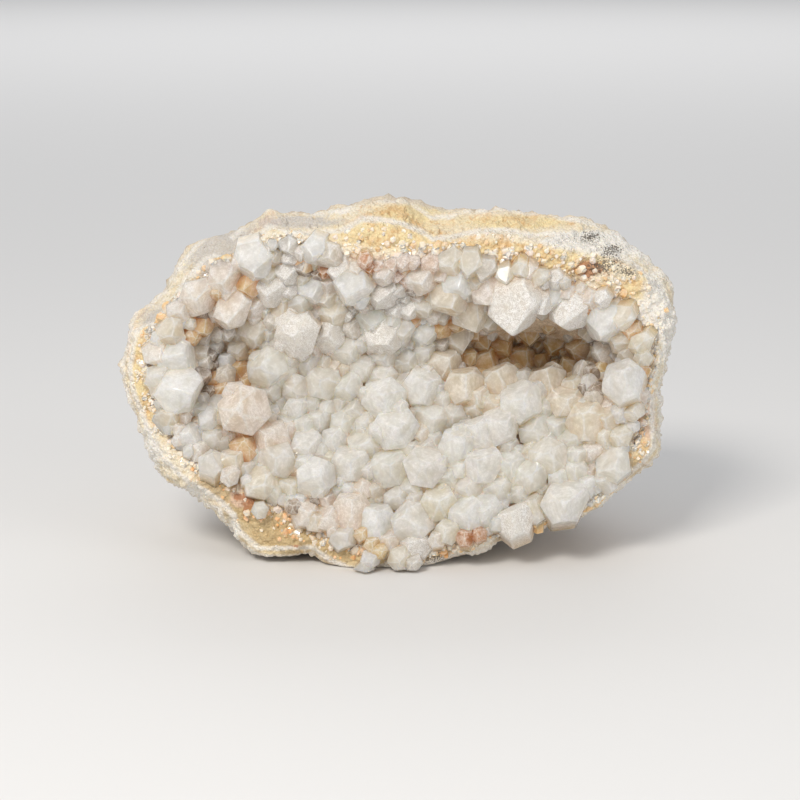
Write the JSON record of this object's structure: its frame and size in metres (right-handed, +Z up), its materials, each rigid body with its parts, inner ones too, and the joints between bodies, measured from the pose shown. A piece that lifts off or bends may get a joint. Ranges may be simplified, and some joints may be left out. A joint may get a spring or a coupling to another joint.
{
  "type": "quartz cluster",
  "caption": "Lump of pale matrix rock resting on a worn flat patch, with an open hollow in front lined by a crust of milky quartz points.",
  "frame": {"origin": "under the middle of the rock's bounding box, on the surface that it rests on", "axes": "+X to the right along the rock's length, as seen looking into the hollow; -Y out of the hollow; +Z up"},
  "size_m": [0.1467, 0.0941, 0.0911],
  "materials": {
    "matrix_rock": "rough cream to ochre rock with white crests, rust-brown stains and grey specks",
    "milky_quartz": "milky translucent quartz with smooth flat faces, white to warm beige, browner in the gaps"
  },
  "bodies": {
    "root": {"matrix": "matrix_rock", "crystal_crust": "milky_quartz"}
  },
  "joints": []
}
